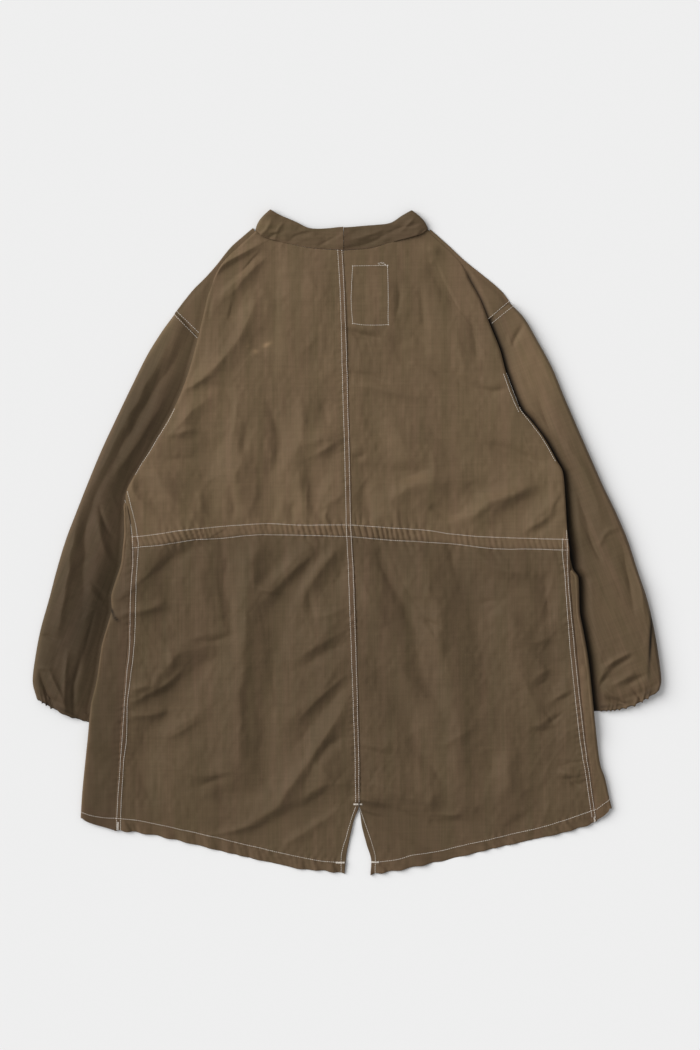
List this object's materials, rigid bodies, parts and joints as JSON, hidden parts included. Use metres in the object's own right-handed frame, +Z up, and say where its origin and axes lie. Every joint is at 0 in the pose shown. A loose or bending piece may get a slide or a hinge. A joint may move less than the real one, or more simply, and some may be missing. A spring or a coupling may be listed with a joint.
{
  "type": "fishtail parka",
  "caption": "Loose parka shell of thin olive-brown cloth laid flat, back up, with a stand collar, gathered wrists, a puckered waist casing and a vented fishtail hem.",
  "frame": {"origin": "on the surface the garment lies on, below the middle of its outline", "axes": "+Y towards the collar, +X towards the wearer's right sleeve, +Z up out of the back"},
  "size_m": [0.893, 0.9427, 0.0092],
  "materials": {
    "shell_cloth": "thin crisp plain-weave cloth, olive-brown with faint streaks along the warp, low soft sheen"
  },
  "bodies": {
    "root": {"back_left": "shell_cloth", "back_right": "shell_cloth", "back_left_shoulder": "shell_cloth", "back_right_shoulder": "shell_cloth", "front_left": "shell_cloth", "front_right": "shell_cloth", "sleeve_left": "shell_cloth", "sleeve_right": "shell_cloth", "collar_left": "shell_cloth", "collar_right": "shell_cloth"}
  },
  "joints": []
}
